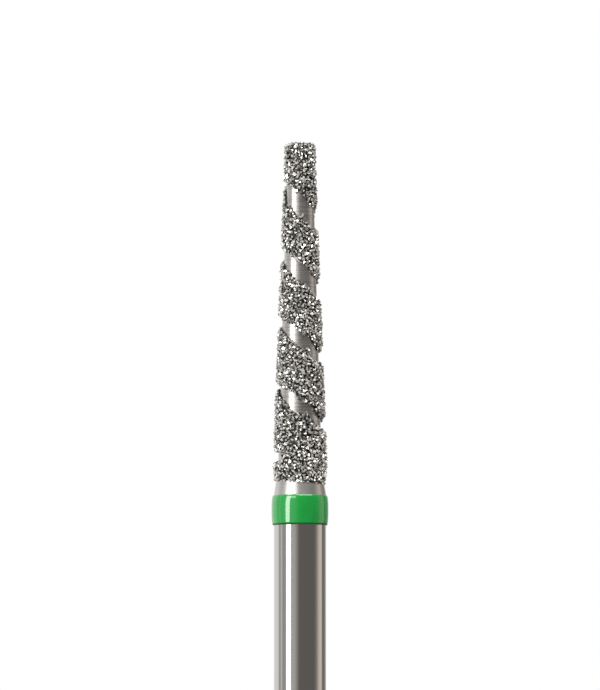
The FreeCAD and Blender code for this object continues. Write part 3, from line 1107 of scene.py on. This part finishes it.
def stand_camera():
    """A long lens from just above the floor, looking up at the neck and head."""
    studio = bpy.context.scene.bur_studio
    lens = bpy.data.cameras.new("camera")
    lens.type = "PERSP"
    lens.sensor_fit = "AUTO"
    lens.sensor_width = 36.0
    distance = math.hypot(studio.camera_distance, studio.aim_height - studio.camera_height)
    lens.lens = lens.sensor_width * distance / studio.view_height
    lens.clip_start = 0.05 * studio.camera_distance
    lens.clip_end = 10 * studio.camera_distance
    camera = bpy.data.objects.new("camera", lens)
    bpy.context.scene.collection.objects.link(camera)
    camera.location = (0.0, -studio.camera_distance, studio.camera_height)
    aim = Vector((0, 0, studio.aim_height)) - camera.location
    camera.rotation_mode = "QUATERNION"
    camera.rotation_quaternion = aim.to_track_quat("-Z", "Y")
    bpy.context.scene.camera = camera


# Operators and panel


class DENTALBUR_OT_blank(Operator):
    """Turn the steel blank: shank, neck and tapered core"""

    bl_idname = "dental_bur.blank"
    bl_label = "Steel blank"
    bl_options = {"REGISTER", "UNDO"}

    def execute(self, context):
        fit_piece(make_blank(), "steel_blank")
        return {"FINISHED"}


class DENTALBUR_OT_ring(Operator):
    """Lacquer the colour ring onto the shank"""

    bl_idname = "dental_bur.ring"
    bl_label = "Colour ring"
    bl_options = {"REGISTER", "UNDO"}

    def execute(self, context):
        fit_piece(make_ring(), "colour_ring")
        return {"FINISHED"}


class DENTALBUR_OT_plating(Operator):
    """Plate the head with the nickel that holds the grains"""

    bl_idname = "dental_bur.plating"
    bl_label = "Nickel plating"
    bl_options = {"REGISTER", "UNDO"}

    def execute(self, context):
        fit_piece(make_plating(), "diamond_coating")
        return {"FINISHED"}


class DENTALBUR_OT_grains(Operator):
    """Set the diamond grains into the nickel"""

    bl_idname = "dental_bur.grains"
    bl_label = "Diamond grains"
    bl_options = {"REGISTER", "UNDO"}

    def execute(self, context):
        fit_piece(make_grains(), "diamond_coating")
        return {"FINISHED"}


class DENTALBUR_OT_studio(Operator):
    """Set up the floor, the light and the camera"""

    bl_idname = "dental_bur.studio"
    bl_label = "Studio"
    bl_options = {"REGISTER", "UNDO"}

    def execute(self, context):
        context.scene.view_settings.view_transform = "Standard"
        make_world()
        hang_gauze()
        lay_floor()
        hang_lamps()
        stand_camera()
        return {"FINISHED"}


class DENTALBUR_PT_maker(Panel):
    """The bur's sizes and colours, and the buttons that make its pieces"""

    bl_label = "Dental bur"
    bl_idname = "DENTALBUR_PT_maker"
    bl_space_type = "VIEW_3D"
    bl_region_type = "UI"
    bl_category = "Dental bur"

    def draw(self, context):
        for group in GROUPS:
            box = self.layout.box()
            for name in GROUPS[group].__annotations__:
                box.prop(getattr(context.scene, group), name)
        for operator in OPERATORS:
            self.layout.operator(operator.bl_idname)


GROUPS = {
    "bur_blank": BurBlankSizes,
    "bur_ring": BurRingSizes,
    "bur_coat": BurCoatSizes,
    "bur_grains": BurGrainSizes,
    "bur_finishes": BurFinishes,
    "bur_studio": BurStudio,
}
OPERATORS = (
    DENTALBUR_OT_blank,
    DENTALBUR_OT_ring,
    DENTALBUR_OT_plating,
    DENTALBUR_OT_grains,
    DENTALBUR_OT_studio,
)


def register():
    """Adds the properties, the operators and the panel to Blender."""
    for name, group in GROUPS.items():
        bpy.utils.register_class(group)
        setattr(bpy.types.Scene, name, PointerProperty(type=group))
    for operator in OPERATORS:
        bpy.utils.register_class(operator)
    bpy.utils.register_class(DENTALBUR_PT_maker)


def unregister():
    """Takes them out again."""
    bpy.utils.unregister_class(DENTALBUR_PT_maker)
    for operator in reversed(OPERATORS):
        bpy.utils.unregister_class(operator)
    for name, group in reversed(GROUPS.items()):
        delattr(bpy.types.Scene, name)
        bpy.utils.unregister_class(group)


def main():
    """Makes the studio and every piece."""
    register()
    bpy.ops.dental_bur.studio()
    bpy.ops.dental_bur.blank()
    bpy.ops.dental_bur.ring()
    bpy.ops.dental_bur.plating()
    bpy.ops.dental_bur.grains()


if __name__ == "__main__":
    main()
